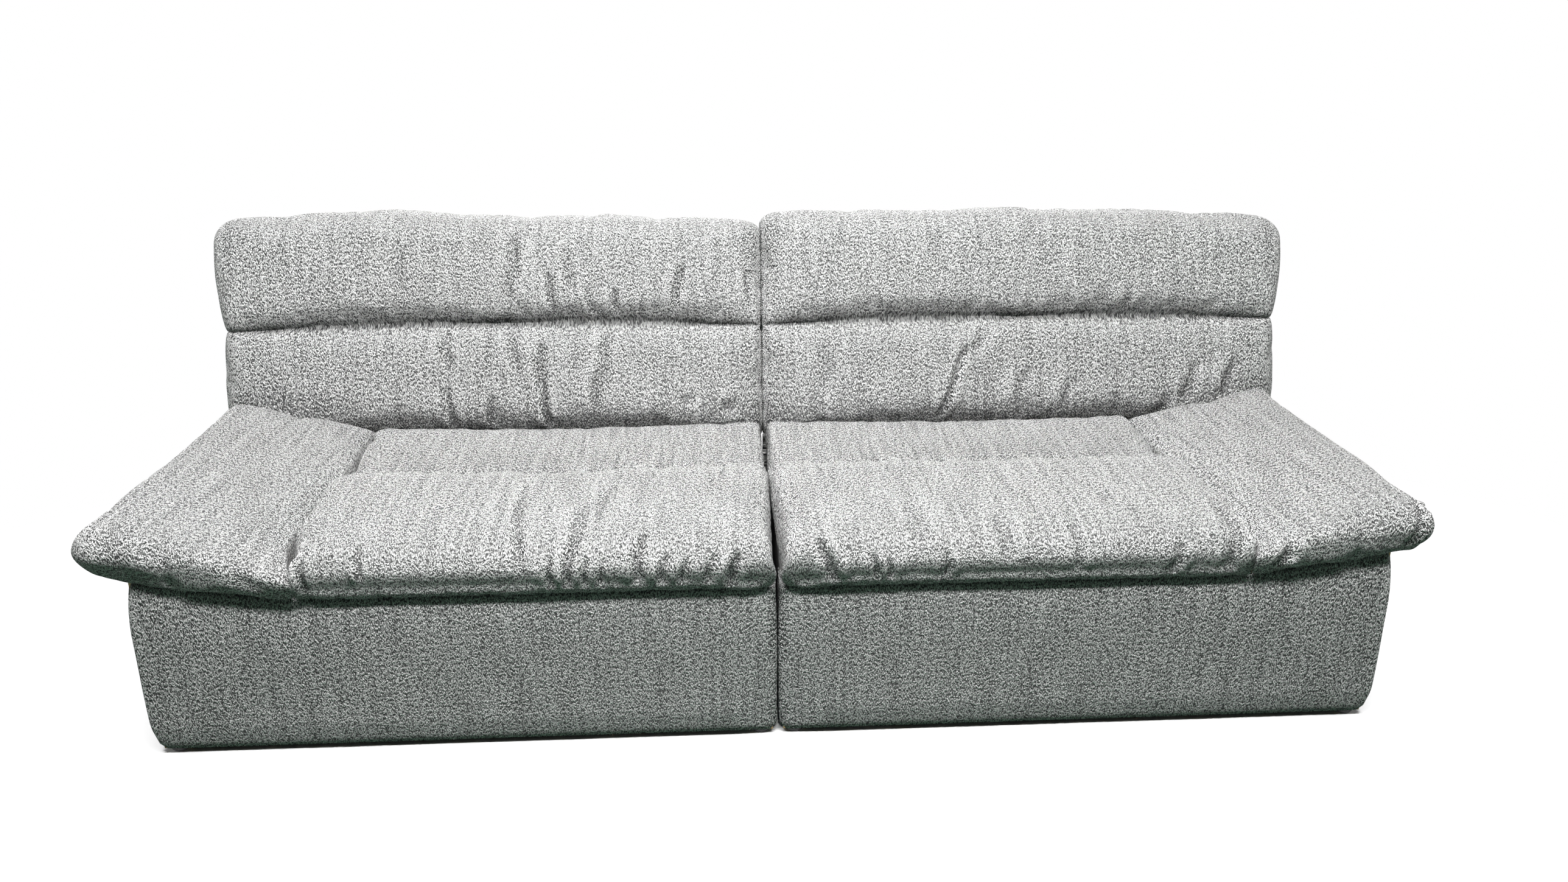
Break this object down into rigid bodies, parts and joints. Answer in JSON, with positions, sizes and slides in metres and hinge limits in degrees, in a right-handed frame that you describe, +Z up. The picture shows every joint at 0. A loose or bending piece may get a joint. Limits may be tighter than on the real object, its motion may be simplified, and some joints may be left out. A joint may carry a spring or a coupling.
{
  "type": "modular sectional sofa",
  "caption": "Low modular sofa of mirrored upholstered modules, each a boxy base with seat pad and sloped arm pad, and a reclined back that plugs into the base.",
  "frame": {"origin": "centre of the sofa's footprint box, at floor level, on the plane between the two modules", "axes": "+X along the sofa, to the right of someone who looks at its front; -Y is the way the sofa faces; +Z up"},
  "size_m": [2.5908, 1.0464, 0.9021],
  "materials": {
    "chenille": "matte",
    "plywood": "matte",
    "pine": "matte",
    "hardboard": "matte",
    "spring_steel": "satin",
    "zinc_steel": "satin",
    "black_cloth": "matte",
    "black_plastic": "matte"
  },
  "bodies": {
    "left_base": {"front_panel_left": "plywood", "rear_panel_left": "plywood", "inner_side_panel_left": "plywood", "outer_side_panel_left": "plywood", "arm_divider_left": "plywood", "arm_deck_left": "plywood", "spring_unit_left": "spring_steel", "front_cover_left": "chenille", "outer_side_cover_left": "chenille", "rear_cover_left": "chenille", "dust_cover_left": "black_cloth", "glide_front_inner_left": "black_plastic", "glide_front_outer_left": "black_plastic", "glide_rear_inner_left": "black_plastic", "glide_rear_outer_left": "black_plastic", "back_socket_inner_left": "zinc_steel", "back_socket_outer_left": "zinc_steel", "seat_cushion_left": "chenille", "arm_cushion_left": "chenille", "module_hook_front_left": "zinc_steel", "module_hook_rear_left": "zinc_steel"},
    "left_back": {"back_post_inner_left": "pine", "back_post_outer_left": "pine", "back_top_rail_left": "pine", "back_bottom_rail_left": "pine", "back_board_left": "hardboard", "back_cover_left": "chenille", "back_cushion_left": "chenille", "back_tongue_inner_left": "zinc_steel", "back_tongue_outer_left": "zinc_steel"},
    "right_base": {"front_panel_right": "plywood", "rear_panel_right": "plywood", "inner_side_panel_right": "plywood", "outer_side_panel_right": "plywood", "arm_divider_right": "plywood", "arm_deck_right": "plywood", "spring_unit_right": "spring_steel", "front_cover_right": "chenille", "outer_side_cover_right": "chenille", "rear_cover_right": "chenille", "dust_cover_right": "black_cloth", "glide_front_inner_right": "black_plastic", "glide_front_outer_right": "black_plastic", "glide_rear_inner_right": "black_plastic", "glide_rear_outer_right": "black_plastic", "back_socket_inner_right": "zinc_steel", "back_socket_outer_right": "zinc_steel", "seat_cushion_right": "chenille", "arm_cushion_right": "chenille", "module_hook_front_right": "zinc_steel", "module_hook_rear_right": "zinc_steel"},
    "right_back": {"back_post_inner_right": "pine", "back_post_outer_right": "pine", "back_top_rail_right": "pine", "back_bottom_rail_right": "pine", "back_board_right": "hardboard", "back_cover_right": "chenille", "back_cushion_right": "chenille", "back_tongue_inner_right": "zinc_steel", "back_tongue_outer_right": "zinc_steel"}
  },
  "joints": [
    {"name": "left_back_lift", "type": "slide", "parent": "left_base", "child": "left_back", "axis": [0, 0, 1], "range_m": [0, 0.13]},
    {"name": "right_base_lift", "type": "slide", "parent": "left_base", "child": "right_base", "axis": [0, 0, 1], "range_m": [0, 0.06]},
    {"name": "right_back_lift", "type": "slide", "parent": "right_base", "child": "right_back", "axis": [0, 0, 1], "range_m": [0, 0.13]}
  ]
}
